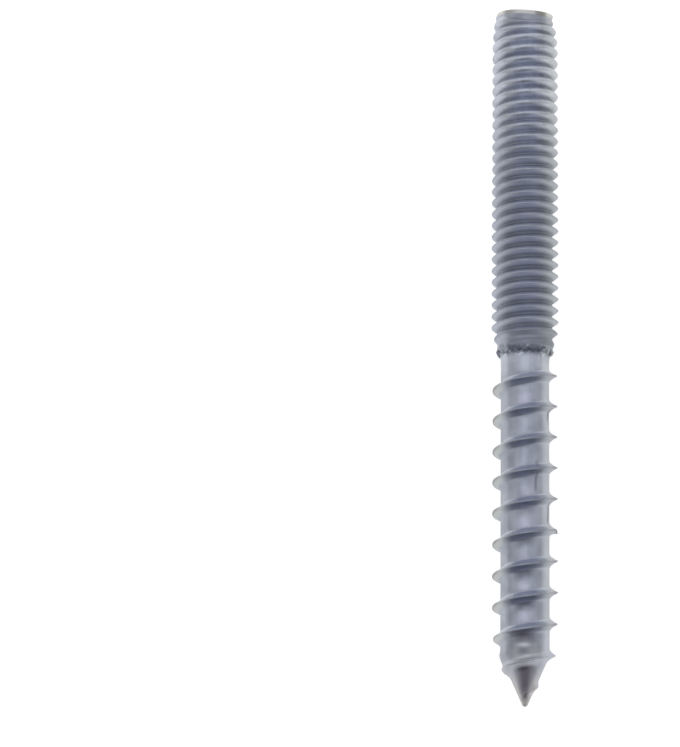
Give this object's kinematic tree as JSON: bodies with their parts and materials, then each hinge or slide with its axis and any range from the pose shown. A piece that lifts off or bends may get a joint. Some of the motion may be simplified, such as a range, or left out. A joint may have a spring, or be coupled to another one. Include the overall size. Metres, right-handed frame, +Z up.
{
  "type": "hanger bolt",
  "caption": "Hanger bolt with a machine thread at one end and a pointed wood-screw thread at the other, zinc-plated steel.",
  "frame": {"origin": "centre of the bolt's footprint on the ground as it lies on its side", "axes": "+Y along the bolt from the point to the flat end of the machine thread, +Z up, +X across the bolt"},
  "size_m": [0.0056, 0.06, 0.0056],
  "materials": {
    "zinc_plated_steel": "satin zinc plating with a blue-grey tone"
  },
  "bodies": {
    "root": {"hanger_bolt": "zinc_plated_steel"}
  },
  "joints": []
}
